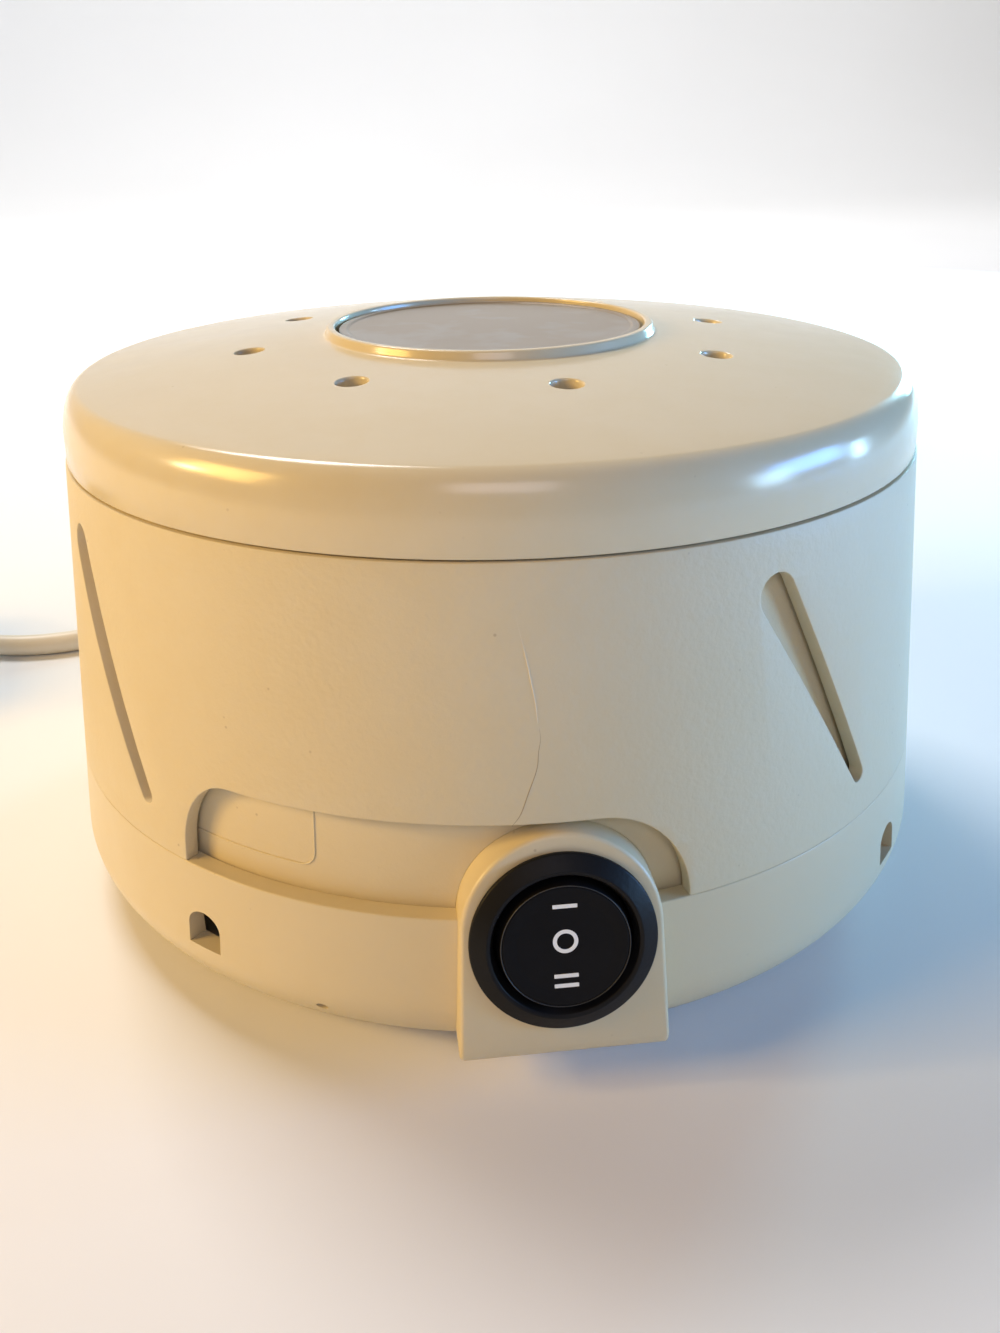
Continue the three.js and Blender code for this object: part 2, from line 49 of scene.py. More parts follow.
# The drum as the frame has it, in mm, and in degrees round from the switch towards +X.
SEAM_Z = 73.0
SEAM_R = 67.9
DRAFT = 0.094
GAP = 0.3
WALL = 2.2
LEDGE_Z = 25.2
BEND_Z = 11.7
UNDERSIDE_Z = 2.5
UNDERSIDE_R = 64.4
HOUSING_R = 69.4
HOUSING_BOTTOM = 19.0
DECK_Z = 69.2
CAP_R = 67.55
CAP_TURN_Z = 76.4
CAP_SHOULDER_R = 64.15
DOME_TOP = 88.9
DOME_FALL = 790.0
RIM_TOP = 89.4
RIM_R = 26.4
RIM_INNER_R = 24.6
BADGE_FLOOR_Z = RIM_TOP - 2.4
OUTLET_R = 2.25
OUTLET_RING_R = 38.6
OUTLETS = [45 * i + 9.2 for i in range(8)]
SWITCH_TILT = 11.2
SWITCH_Z = 23.3
SWITCH_REACH = 74.5
BOSS_R = 13.4
BOSS_FOOT_R = 14.1
BOSS_MIDDLE_Z = 24.2
LIP_Z = 6.1
ROCKER_TOP = 2.2  # the rocker's rim in the switch's own frame; its middle is lower by the dish
ROCKER_DISH = 0.45
MARKS_UP = 0.65
NOTCH = (-43.8, 14.3)
NOTCH_TOP = 38.9
SLOTS = [33, 121.5, 213, 301.5]
SLOT_HEAD = (64.4, 3.05)
SLOT_FOOT = (32.4, 1.3)
SLOT_LEAN = 15.4
SHEET_R = 70.0
PER_DEGREE = math.radians(1) * SHEET_R  # mm along the flat sheet for a degree round the drum
VENT_SLOT_SHIFT = 28
WINDOWS = [-41.5, 50.5, 138.5, 230.5]
CORD_R = 2.5
CORD_EXIT_Z = 14
SCREW_SPOTS = (-140, -70, 70, 140)
SCREW_RING_R = 58
FOOT_SPOTS = (-135, -45, 45, 135)
FOOT_RING_R = 47

# The sockets of a colour Mix node, several of which share a name.
MIX_FACTOR, MIX_A, MIX_B, MIX_RESULT = 0, 6, 7, 2


def drum_radius(z):
    return SEAM_R + DRAFT * (SEAM_Z - z)


def dome_height(r):
    return DOME_TOP - r * r / DOME_FALL


def around(degrees, radius, z):
    """A place on the drum, degrees round from the switch towards +X, in metres."""
    a = math.radians(degrees)
    return Vector((radius * math.sin(a), -radius * math.cos(a) + AXIS_Y / MM, z)) * MM


# ---- camera ---------------------------------------------------------------------------------
def add_camera():
    turn, pitch, roll = math.radians(6.54), math.radians(25.37), math.radians(-0.89)
    forward = Vector((math.sin(turn) * math.cos(pitch), math.cos(turn) * math.cos(pitch), -math.sin(pitch)))
    level = Vector((math.cos(turn), -math.sin(turn), 0))
    over = level.cross(forward)
    right = math.cos(roll) * level + math.sin(roll) * over
    up = right.cross(forward)
    data = bpy.data.cameras.new("camera")
    data.lens = 32.41
    data.sensor_width = 36
    camera = bpy.data.objects.new("camera", data)
    camera.matrix_world = Matrix((right, up, -forward)).transposed().to_4x4()
    camera.location = around(-6.3, 199.2, 121.9)
    bpy.context.collection.objects.link(camera)
    bpy.context.scene.camera = camera


# ---- mesh helpers ---------------------------------------------------------------------------
def linked(name, data):
    thing = bpy.data.objects.new(name, data)
    bpy.context.collection.objects.link(thing)
    return thing


def final_mesh(thing):
    """The mesh an object makes once its curve settings and modifiers are worked out."""
    return bpy.data.meshes.new_from_object(thing.evaluated_get(bpy.context.evaluated_depsgraph_get()))


def add_object(name, mesh, body, material, sharp=35):
    """Links a mesh as a piece of a body, smooth except over its sharp edges."""
    mesh.name = name
    mesh.shade_smooth()
    mesh.set_sharp_from_angle(angle=math.radians(sharp))
    piece = linked(name, mesh)
    mesh.materials.clear()
    mesh.materials.append(material)
    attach(piece, body)
    return piece


def mesh_of(vertices, faces):
    mesh = bpy.data.meshes.new("mesh")
    mesh.from_pydata([tuple(v) for v in vertices], [], faces)
    mesh.validate()
    return mesh


def rounded(corners, steps=5):
    """A closed or open outline with its corners rounded: each corner is (x, y, radius)."""
    out = []
    count = len(corners)
    for i, (x, y, r) in enumerate(corners):
        here = Vector((x, y))
        if r == 0:
            out.append((x, y))
            continue
        to_before = Vector(corners[i - 1][:2]) - here
        to_after = Vector(corners[(i + 1) % count][:2]) - here
        a, b = to_before.normalized(), to_after.normalized()
        half = a.angle(b) / 2
        reach = min(r / math.tan(half), 0.49 * to_before.length, 0.49 * to_after.length)
        for k in range(steps + 1):
            t = k / steps
            start, end = here + a * reach, here + b * reach
            out.append(tuple(start * (1 - t) ** 2 + here * 2 * t * (1 - t) + end * t ** 2))
    return out


def arc(cx, cy, rx, ry, start, end, steps):
    """Points of an arc; angles in degrees."""
    angles = [math.radians(start + (end - start) * k / steps) for k in range(steps + 1)]
    return [(cx + rx * math.cos(a), cy + ry * math.sin(a)) for a in angles]


def turned(profile, segments=240, closed=True):
    """A solid of revolution about Z in mm: a closed ring of (radius, height), or an open profile
    whose two ends are on the axis."""
    vertices, rows = [], []
    for r, z in profile:
        if r < 1e-6:
            rows.append([len(vertices)] * segments)
            vertices.append((0, 0, z))
            continue
        rows.append(list(range(len(vertices), len(vertices) + segments)))
        vertices += [(r * math.cos(2 * math.pi * k / segments), r * math.sin(2 * math.pi * k / segments), z)
                     for k in range(segments)]
    faces = []
    pairs = list(zip(rows, rows[1:])) + ([(rows[-1], rows[0])] if closed else [])
    for low, high in pairs:
        for k in range(segments):
            n = (k + 1) % segments
            quad = [low[k], low[n], high[n], high[k]]
            face = [v for i, v in enumerate(quad) if v not in quad[:i]]
            if len(face) > 2:
                faces.append(face)
    return mesh_of(vertices, faces)


def placed(mesh, degrees=0, radius=0, z=0):
    """Moves a mesh made in mm about the drum's axis into metres in the frame."""
    mesh.transform(Matrix.Translation(around(degrees, radius, z)) @ Matrix.Scale(MM, 4))
    return mesh


def joined(meshes):
    made = bmesh.new()
    for mesh in meshes:
        made.from_mesh(mesh)
    out = bpy.data.meshes.new("mesh")
    made.to_mesh(out)
    made.free()
    return out


def carved(mesh, cutters):
    """The mesh less the cutters, which may overlap each other."""
    body = linked("body", mesh)
    for cutter in cutters:
        step = body.modifiers.new("carve", "BOOLEAN")
        step.operation = "DIFFERENCE"
        step.object = linked("tool", cutter)
        step.solver = "EXACT"
    result = final_mesh(body)
    for step in list(body.modifiers):
        bpy.data.objects.remove(step.object)
    bpy.data.objects.remove(body)
    return result


def turned_out(mesh):
    """The mesh with its faces' normals made to point outwards."""
    made = bmesh.new()
    made.from_mesh(mesh)
    bmesh.ops.recalc_face_normals(made, faces=made.faces)
    made.to_mesh(mesh)
    made.free()
    return mesh


def prism(outline, depth):
    """A flat outline in XY raised by depth along Z, both in mm."""
    count = len(outline)
    vertices = [(x, y, 0) for x, y in outline] + [(x, y, depth) for x, y in outline]
    sides = [(i, (i + 1) % count, count + (i + 1) % count, count + i) for i in range(count)]
    return turned_out(mesh_of(vertices, [tuple(range(count))[::-1], tuple(range(count, 2 * count))] + sides))


def radial_cutter(outline, inner, outer):
    """A cutter whose outline is in degrees round the drum and height, run out radially."""
    mesh = prism(outline, outer - inner)
    for vertex in mesh.vertices:
        degrees, z, out = vertex.co
        vertex.co = around(degrees, inner + out, z)
    return turned_out(mesh)


def swept(name, points, radius, body, material, resolution=8, taper=None):
    """A round bar along points in metres. A taper scales it at each point, and makes it a mesh, because
    a tapered curve's bounding box comes out about a metre too big each way."""
    data = bpy.data.curves.new(name, "CURVE")
    data.dimensions = "3D"
    data.bevel_depth = radius
    data.bevel_resolution = resolution
    data.use_fill_caps = True
    line = data.splines.new("POLY")
    line.points.add(len(points) - 1)
    for place, point in zip(line.points, points):
        place.co = (*point, 1)
    line.use_smooth = True
    piece = linked(name, data)
    data.materials.append(material)
    if taper:
        for place, size in zip(line.points, taper):
            place.radius = size
        mesh = final_mesh(piece)
        bpy.data.objects.remove(piece)
        piece = linked(name, mesh)
    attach(piece, body)
    return piece


def smooth_path(points, steps=6):
    """Catmull-Rom through the points."""
    line = [Vector(p) for p in points]
    line = [2 * line[0] - line[1]] + line + [2 * line[-1] - line[-2]]
    out = []
    for a, b, c, d in zip(line, line[1:], line[2:], line[3:]):
        for k in range(steps):
            t = k / steps
            out.append(0.5 * (2 * b + (c - a) * t + (2 * a - 5 * b + 4 * c - d) * t ** 2
                              + (3 * b - a - 3 * c + d) * t ** 3))
    return out + [line[-2]]


# ---- materials ------------------------------------------------------------------------------
class Shader:
    """Small helper to lay out a principled material."""

    def __init__(self, name, roughness, metallic=0.0, coat=0.0, coat_roughness=0.2):
        self.material = bpy.data.materials.new(name)
        self.material.use_nodes = True
        self.tree = self.material.node_tree
        self.main = self.tree.nodes["Principled BSDF"]
        self.main.inputs["Roughness"].default_value = roughness
        self.main.inputs["Metallic"].default_value = metallic
        self.main.inputs["Coat Weight"].default_value = coat
        self.main.inputs["Coat Roughness"].default_value = coat_roughness
        self.where = self.add("ShaderNodeTexCoord").outputs["Object"]

    def add(self, kind, **values):
        node = self.tree.nodes.new(kind)
        for key, value in values.items():
            if key.startswith("in_"):
                node.inputs[key[3:].replace("_", " ")].default_value = value
            else:
                setattr(node, key, value)
        return node

    def link(self, source, target):
        self.tree.links.new(source, target)

    def noise(self, scale, detail=4.0, roughness=0.5):
        node = self.add("ShaderNodeTexNoise", in_Scale=scale, in_Detail=detail, in_Roughness=roughness)
        self.link(self.where, node.inputs["Vector"])
        return node.outputs["Fac"]

    def cells(self, scale):
        node = self.add("ShaderNodeTexVoronoi", in_Scale=scale)
        self.link(self.where, node.inputs["Vector"])
        return node.outputs["Distance"]

    def ramp(self, value, stops):
        node = self.add("ShaderNodeValToRGB")
        marks = node.color_ramp.elements
        while len(marks) < len(stops):
            marks.new(0.5)
        for mark, (place, colour) in zip(marks, stops):
            mark.position = place
            mark.color = colour if len(colour) == 4 else (*colour, 1)
        self.link(value, node.inputs["Fac"])
        return node.outputs["Color"]

    def mix(self, amount, first, second, blend="MIX"):
        node = self.add("ShaderNodeMix", data_type="RGBA", blend_type=blend)
        for number, value in ((MIX_FACTOR, amount), (MIX_A, first), (MIX_B, second)):
            socket = node.inputs[number]
            if hasattr(value, "is_linked"):
                self.link(value, socket)
            elif isinstance(value, (int, float)):
                socket.default_value = value
            else:
                socket.default_value = (*value, 1)
        return node.outputs[MIX_RESULT]

    def bump(self, height, strength, distance, below=None):
        node = self.add("ShaderNodeBump", in_Strength=strength, in_Distance=distance)
        self.link(height, node.inputs["Height"])
        if below is not None:
            self.link(below, node.inputs["Normal"])
        return node.outputs["Normal"]


def grey(value):
    return (value, value, value)


def aged_plastic(name, clean, yellowed, dirty, roughness, grain, grain_scale, coat=0.0, specks=0.35):
    """Cream ABS: broad yellowing, faint mottling, tiny dirt specks and a moulded grain."""
    s = Shader(name, roughness, coat=coat, coat_roughness=0.12)
    broad = s.ramp(s.noise(9, 3, 0.55), [(0.38, grey(0)), (0.66, grey(1))])
    colour = s.mix(broad, clean, yellowed)
    fine = s.ramp(s.noise(160, 5, 0.6), [(0.42, grey(0)), (0.72, grey(0.35))])
    colour = s.mix(fine, colour, yellowed)
    dots = s.ramp(s.cells(330), [(0.045, grey(specks)), (0.085, grey(0))])
    thin = s.ramp(s.noise(60, 2, 0.5), [(0.55, grey(0)), (0.62, grey(1))])
    colour = s.mix(s.mix(1.0, dots, thin, "MULTIPLY"), colour, dirty)
    s.link(colour, s.main.inputs["Base Color"])
    rough = s.ramp(s.noise(45, 5, 0.6), [(0.3, grey(roughness - 0.03)), (0.75, grey(roughness + 0.06))])
    s.link(rough, s.main.inputs["Roughness"])
    pebbled = s.bump(s.noise(grain_scale, 3, 0.55), grain, 0.0002)
    s.link(s.bump(s.noise(70, 2, 0.5), 0.05, 0.0004, pebbled), s.main.inputs["Normal"])
    s.main.inputs["Subsurface Weight"].default_value = 0.04
    s.main.inputs["Subsurface Radius"].default_value = (0.002, 0.0015, 0.001)
    s.main.inputs["Subsurface Scale"].default_value = 1.0
    return s.material


def foil(name, tan, pale, roughness):
    """The badge: tan foil clouded with paler patches, under a clear gloss."""
    s = Shader(name, roughness, metallic=0.2, coat=0.25, coat_roughness=0.1)
    clouds = s.ramp(s.noise(70, 3, 0.6), [(0.48, grey(0)), (0.6, grey(0.55))])
    s.link(s.mix(clouds, tan, pale), s.main.inputs["Base Color"])
    s.link(s.bump(s.noise(2200, 2), 0.05, 0.0001), s.main.inputs["Normal"])
    return s.material


def metal(name, colour, roughness, streak=(1, 1, 40), dark=0.75):
    s = Shader(name, roughness, metallic=1.0)
    stretch = s.add("ShaderNodeMapping")
    stretch.inputs["Scale"].default_value = streak
    s.link(s.where, stretch.inputs["Vector"])
    lines = s.add("ShaderNodeTexNoise", in_Scale=220, in_Detail=4)
    s.link(stretch.outputs["Vector"], lines.inputs["Vector"])
    wear_and_highlight = [c * dark for c in colour]
    s.link(s.mix(s.ramp(lines.outputs["Fac"], [(0.35, grey(0)), (0.7, grey(1))]), colour, wear_and_highlight),
           s.main.inputs["Base Color"])
    s.link(s.ramp(s.noise(90, 4), [(0.3, grey(roughness - 0.08)), (0.8, grey(roughness + 0.14))]),
           s.main.inputs["Roughness"])
    s.link(s.bump(lines.outputs["Fac"], 0.15, 0.0001), s.main.inputs["Normal"])
    return s.material


def moulded(name, colour, shade, roughness, grain=0.1, grain_scale=1400, specular=0.5):
    """Rubber, PVC or nylon: slight clouding and a fine matte skin."""
    s = Shader(name, roughness)
    s.main.inputs["Specular IOR Level"].default_value = specular
    s.link(s.mix(s.ramp(s.noise(40, 4), [(0.35, grey(0)), (0.75, grey(1))]), colour, shade),
           s.main.inputs["Base Color"])
    s.link(s.ramp(s.noise(120, 4), [(0.3, grey(roughness - 0.06)), (0.8, grey(roughness + 0.08))]),
           s.main.inputs["Roughness"])
    s.link(s.bump(s.noise(grain_scale, 3), grain, 0.0001), s.main.inputs["Normal"])
    return s.material


CREAM = (0.69, 0.61, 0.44)
CREAM_AGED = (0.66, 0.56, 0.36)
DIRT = (0.24, 0.16, 0.08)
CAP_PLASTIC = aged_plastic("cap_plastic", CREAM, CREAM_AGED, DIRT, 0.17, 0.02, 700, specks=0.2)
COLLAR_PLASTIC = aged_plastic("collar_plastic", CREAM, CREAM_AGED, DIRT, 0.5, 0.42, 1000)
BASE_PLASTIC = aged_plastic("base_plastic", CREAM, CREAM_AGED, DIRT, 0.36, 0.08, 900)
INNER_PLASTIC = aged_plastic("inner_plastic", CREAM, CREAM_AGED, DIRT, 0.5, 0.2, 1300)
BADGE_FOIL = foil("badge_foil", (0.23, 0.17, 0.10), (0.27, 0.25, 0.23), 0.32)
SWITCH_PLASTIC = moulded("switch_plastic", (0.007, 0.007, 0.008), (0.012, 0.012, 0.013), 0.42, 0.25, 1500,
                         specular=0.16)
ROCKER_PLASTIC = moulded("rocker_plastic", (0.005, 0.005, 0.006), (0.009, 0.009, 0.010), 0.5, 0.15, 1500,
                         specular=0.1)
# A thin lighter ring at the rocker's rim: a painted edge highlight, not a worn edge.
ROCKER_EDGE_HIGHLIGHT = moulded("rocker_edge_highlight", (0.05, 0.048, 0.045), (0.02, 0.02, 0.02), 0.45, 0.15, 1500)
CRACK_PALE = moulded("crack_lifted_edge", (0.74, 0.66, 0.50), (0.70, 0.60, 0.43), 0.5)
CRACK_DIRT = moulded("crack_dirt", (0.42, 0.33, 0.21), (0.34, 0.26, 0.15), 0.7)
MARK_WHITE = moulded("switch_marks", (0.93, 0.93, 0.91), (0.88, 0.88, 0.85), 0.5)
LEAD_PLASTIC = moulded("lead_pvc", (0.70, 0.65, 0.56), (0.66, 0.60, 0.49), 0.42, 0.12)
RUBBER = moulded("rubber", (0.035, 0.034, 0.032), (0.06, 0.058, 0.055), 0.8, 0.4)
NYLON = moulded("nylon", (0.82, 0.80, 0.74), (0.76, 0.74, 0.67), 0.45, 0.05)
STEEL = metal("zinc_steel", (0.56, 0.57, 0.58), 0.34)
LAMINATIONS = metal("laminations", (0.20, 0.19, 0.18), 0.5, streak=(0.2, 0.2, 14), dark=0.45)
COPPER = metal("enamelled_copper", (0.55, 0.20, 0.08), 0.32, streak=(1, 0.1, 9))
BRASS = metal("plated_brass", (0.78, 0.62, 0.32), 0.28)


# ---- shells ---------------------------------------------------------------------------------
def slot_outline(centre, foot_z=SLOT_FOOT[0]):
    """A slanted slot in degrees and height: a wide round head and a narrow round foot."""
    (head_z, head_r), foot_r = SLOT_HEAD, SLOT_FOOT[1]
    run, drop = SLOT_LEAN * PER_DEGREE, foot_z - head_z
    lean = math.degrees(math.atan2(drop, run))
    touch = math.degrees(math.acos((head_r - foot_r) / math.hypot(run, drop)))
    head = arc(-run / 2, head_z, head_r, head_r, lean + touch, lean + 360 - touch, 24)
    foot = arc(run / 2, foot_z, foot_r, foot_r, lean - touch, lean + touch, 12)
    return [(centre + x / PER_DEGREE, z) for x, z in head + foot]


def notch_outline(low):
    """The notch in degrees and height, open at its foot: a corner on the left, a long curve on the right."""
    left, right = NOTCH
    corner_width, corner_z, end_width = 7, 28, 10
    corner = arc(left + corner_width, corner_z, corner_width, NOTCH_TOP - corner_z, 180, 90, 14)
    end = arc(right - end_width, low, end_width, NOTCH_TOP - low, 90, 0, 18)
    return [(left, low)] + corner + end


def sheet_mesh(outer, holes, thickness, edge):
    """A flat moulding with rounded edges from outlines in mm, thickness centred on Z = 0."""
    data = bpy.data.curves.new("sheet", "CURVE")
    data.dimensions = "2D"
    data.fill_mode = "BOTH"
    data.extrude = thickness / 2 - edge
    data.bevel_depth = edge
    data.bevel_resolution = 2
    data.offset = -edge
    for outline in [outer] + holes:
        line = data.splines.new("POLY")
        line.points.add(len(outline) - 1)
        for place, (x, y) in zip(line.points, outline):
            place.co = (x, y, 0, 1)
        line.use_cyclic_u = True
    flat = linked("sheet", data)
    mesh = final_mesh(flat)
    bpy.data.objects.remove(flat)
    return mesh


def wrap_sheet(mesh, thickness, step=2.5):
    """Cuts a flat sheet finely and wraps it round the drum; it must reach past 180 degrees."""
    made = bmesh.new()
    made.from_mesh(mesh)
    bmesh.ops.remove_doubles(made, verts=made.verts, dist=0.002)

    def cut(x, side, **options):
        bmesh.ops.bisect_plane(made, geom=made.verts[:] + made.edges[:] + made.faces[:],
                               plane_co=(x, 0, 0), plane_no=(side, 0, 0), **options)

    for side in (-1, 1):
        cut(side * 180 * PER_DEGREE, side, clear_outer=True)
    for k in range(1, int(360 / step)):
        cut((k * step - 180) * PER_DEGREE, 1)
    for vertex in made.verts:
        x, z, out = vertex.co
        vertex.co = around(x / PER_DEGREE, drum_radius(z) - thickness / 2 + out, z)
    bmesh.ops.remove_doubles(made, verts=made.verts, dist=2e-6)
    bmesh.ops.recalc_face_normals(made, faces=made.faces)
    made.to_mesh(mesh)
    made.free()
    return mesh


def add_collar():
    low, high = LEDGE_Z + 0.04, SEAM_Z - 0.1
    wide = 186 * PER_DEGREE
    notch = [(a * PER_DEGREE, z) for a, z in notch_outline(low)]
    outer = [(-wide, low)] + notch + [(wide, low), (wide, high), (-wide, high)]
    turns = [a - 360 if a > 180 else a for a in SLOTS]
    holes = [[(a * PER_DEGREE, z) for a, z in slot_outline(centre)] for centre in turns]
    edge = 0.14
    wall = wrap_sheet(sheet_mesh(outer, holes, WALL, edge), WALL)
    lip_z, lip_inner, lip_thick = DECK_Z + GAP, 60, 2
    lip_outer = drum_radius(lip_z) - WALL + 0.3
    lip = placed(turned([(lip_inner, lip_z), (lip_outer, lip_z), (lip_outer, lip_z + lip_thick),
                         (lip_inner, lip_z + lip_thick)], 120))
    collar = add_object("collar_shell", joined([wall, lip]), "collar_body", COLLAR_PLASTIC, 40)
    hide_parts("collar")
    add_crack()


def add_crack():
    """A hairline crack up from the notch: dirty below, a pale lifted edge above."""
    dirty = [(-4.9, 38.8), (-4.0, 40.4), (-3.2, 43.2), (-2.3, 46.5), (-2.1, 48.8), (-1.9, 51.0), (-2.4, 54.5)]
    pale = [(-2.15, 52.6), (-2.35, 55.2), (-2.75, 58.0), (-3.25, 61.2), (-3.7, 63.6), (-4.2, 66.4)]
    for name, line, radius, material in (("crack_line", dirty, 0.07, CRACK_DIRT),
                                         ("crack_ridge", pale, 0.1, CRACK_PALE)):
        path = smooth_path([around(a, drum_radius(z) - 0.03, z) for a, z in line], 5)
        taper = [0.25 + 0.75 * math.sin(math.pi * min(1.0, 0.12 + k / len(path)))
                 for k in range(len(path))]
        crack = swept(name, path, radius * MM, "collar_body", material, 2, taper)


def add_cap():
    bottom = SEAM_Z + GAP / 2
    inner = CAP_R - WALL
    shoulder = arc(CAP_SHOULDER_R, CAP_TURN_Z, CAP_R - CAP_SHOULDER_R,
                   dome_height(CAP_SHOULDER_R) - CAP_TURN_Z, 4, 86, 22)
    dome = [(r, dome_height(r)) for r in (62, 58, 54, 50, 47, 44, 41, 38, 35, 32, 29.5, 27.4)]
    rim = rounded([(27.4, dome_height(27.4), 0), (RIM_R + 0.15, dome_height(RIM_R), 0.5),
                   (RIM_R - 0.3, RIM_TOP, 0.45), (RIM_INNER_R + 0.3, RIM_TOP, 0.4),
                   (RIM_INNER_R, BADGE_FLOOR_Z, 0.3), (20, BADGE_FLOOR_Z, 0)])
    hem = [(inner, bottom), (CAP_R - 0.2, bottom), (CAP_R + 0.02, bottom + 0.08), (CAP_R + 0.1, bottom + 0.3)]
    pin_r, pin_z, hub_r = 4.7, 65.2, 9
    middle = [(0, BADGE_FLOOR_Z), (0, pin_z), (pin_r, pin_z), (pin_r, DECK_Z + GAP), (hub_r, DECK_Z + GAP),
              (hub_r, BADGE_FLOOR_Z - WALL), (RIM_INNER_R, BADGE_FLOOR_Z - WALL)]
    under = [(r, dome_height(r) - WALL) for r in (30, 38, 46, 54, 62)] + [(inner, CAP_TURN_Z)]
    shell = placed(turned(hem + shoulder + dome + rim[1:] + middle + under))
    lean = math.atan(2 * OUTLET_RING_R / DOME_FALL)
    drill = turned([(0, -8), (OUTLET_R, -8), (OUTLET_R, -0.35), (OUTLET_R + 0.12, -0.1),
                    (OUTLET_R + 0.4, 0.12), (OUTLET_R + 0.4, 3), (0, 3)], 40, closed=False)
    tools = []
    for degrees in OUTLETS:
        tool = drill.copy()
        hinge = (around(degrees + 90, 1, 0) - around(0, 0, 0)).normalized()
        tool.transform(Matrix.Rotation(lean, 4, hinge))
        tools.append(placed(tool, degrees, OUTLET_RING_R, dome_height(OUTLET_RING_R)))
    cap = add_object("cap_shell", carved(shell, [joined(tools)]), "cap_body", CAP_PLASTIC, 32)
    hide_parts("cap")
    add_badge()


def add_badge():
    """A blank disc with a raised edge, in the cap's recess."""
    low = BADGE_FLOOR_Z + GAP
    edge = RIM_INNER_R - 0.35
    disc = rounded([(0, low, 0), (edge, low, 0.1), (edge, low + 1.5, 0.3), (edge - 1.2, low + 1.5, 0.25),
                    (edge - 1.6, low + 1.3, 0.25), (12, low + 1.45, 0)])
    badge = turned(disc + [(0, low + 1.5)], 160, closed=False)
    badge = add_object("badge_disc", placed(badge), "cap_body", BADGE_FOIL)
    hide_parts("badge")


def boss_outline(spare):
    """The arched outline round the switch in mm, across and up, its two feet first."""
    foot, r = BOSS_FOOT_R + spare, BOSS_R + spare
    return [(-foot, LIP_Z - spare), (foot, LIP_Z - spare)] + arc(0, BOSS_MIDDLE_Z, r, r, 0, 180, 40)


def add_inner_housing():
    at_deck = HOUSING_R - DRAFT * (DECK_Z - LEDGE_Z)
    under = DECK_Z - WALL
    wall = [(HOUSING_R - DRAFT * max(0, z - LEDGE_Z), z) for z in (HOUSING_BOTTOM, LEDGE_Z, 36, 47, 58)]
    shell = [(HOUSING_R - WALL, HOUSING_BOTTOM)] + wall + rounded([
        (at_deck, DECK_Z, 0.8), (5.1, DECK_Z, 0.3), (5.1, under, 0), (at_deck - WALL, under, 0),
        (HOUSING_R - WALL, LEDGE_Z, 0)])
    mesh = placed(turned(shell))
    boss = prism(boss_outline(0.04), 40)
    boss.transform(Matrix.Translation((0, AXIS_Y, 0)) @ Matrix.Scale(MM, 4)
                   @ Matrix.Translation((0, -50, 0)) @ Matrix.Rotation(math.pi / 2, 4, "X"))
    vents = joined([placed(turned([(0, 60), (4, 60), (4, 75), (0, 75)], 40, closed=False), a, OUTLET_RING_R)
                    for a in OUTLETS])
    slots = [radial_cutter(slot_outline(a + VENT_SLOT_SHIFT, NOTCH_TOP + 1), 56, 80) for a in SLOTS]
    housing = add_object("inner_housing_shell", carved(mesh, [boss, vents, joined(slots)]),
                         "base_body", INNER_PLASTIC, 32)
    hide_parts("inner_housing")
    add_panel_line()


def add_panel_line():
    """A raised line round a blank rounded panel on the inner wall, behind the notch."""
    left, right, low, high, bend = -66.0, -26.8, 28.7, 50.0, 2.2
    frame_line = []
    for cx, cy, start in ((right - bend, high - bend, 0), (left + bend, high - bend, 90),
                          (left + bend, low + bend, 180), (right - bend, low + bend, 270)):
        frame_line += arc(cx, cy, bend * 0.8, bend, start, start + 90, 8)
    dense = []
    for (a, z), (b, y) in zip(frame_line, frame_line[1:] + frame_line[:1]):
        parts = max(1, int(abs(b - a) / 1.5))
        dense += [(a + (b - a) * k / parts, z + (y - z) * k / parts) for k in range(parts)]
    path = [around(a, HOUSING_R - DRAFT * (z - LEDGE_Z), z) for a, z in dense + dense[:1]]
    bead = swept("panel_frame_line", path, 0.17 * MM, "base_body", INNER_PLASTIC, 3)


def add_base():
    edge = drum_radius(BEND_Z) - UNDERSIDE_R
    bend = arc(UNDERSIDE_R, BEND_Z, edge, BEND_Z - UNDERSIDE_Z, -90, -3, 20)
    top = drum_radius(LEDGE_Z)
    lip_r, wall_r, step_z = 69.6, 70.7, 18.7
    ledge = rounded([(drum_radius(13), 13, 0), (top, LEDGE_Z, 0.3), (lip_r, LEDGE_Z, 0.25),
                     (lip_r, step_z, 0.2), (wall_r, step_z, 0.2), (wall_r, 11, 0)])
    profile = ([(0, UNDERSIDE_Z), (40, UNDERSIDE_Z)] + bend + [(drum_radius(BEND_Z + 0.4), BEND_Z + 0.4)]
               + ledge + [(68.5, 7.2), (61, 5), (0, 5)])
    shell = placed(turned(profile, closed=False))
    windows = []
    half, rise, sill_z, spring_z = 2.45, 2.6, 12, 15.2
    for centre in WINDOWS:
        arch = arc(centre, spring_z, half, rise, 0, 180, 16)
        windows.append(radial_cutter([(centre - half, sill_z), (centre + half, sill_z)] + arch, 66, 80))
    cord_hole = turned([(0, 60), (4.6, 60), (4.6, 80), (0, 80)], 32, closed=False)
    cord_hole.transform(Matrix.Rotation(-math.pi / 2, 4, "X"))
    wells = [placed(turned([(0, 2), (3.6, 2), (3.6, 5.2), (0, 5.2)], 24, closed=False), a, SCREW_RING_R)
             for a in SCREW_SPOTS]
    # a small moulding nick in the lower roll, left of the switch
    nick = radial_cutter(arc(-26.2, 8.3, 0.75, 0.55, 0, 330, 11), 72.2, 76)
    tools = [joined(windows + wells + [nick, placed(cord_hole, 0, 0, CORD_EXIT_Z)]), switch_bore(48)]
    base = add_object("base_shell", carved(shell, tools), "base_body", BASE_PLASTIC, 30)
    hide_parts("base")
    add_switch_housing()


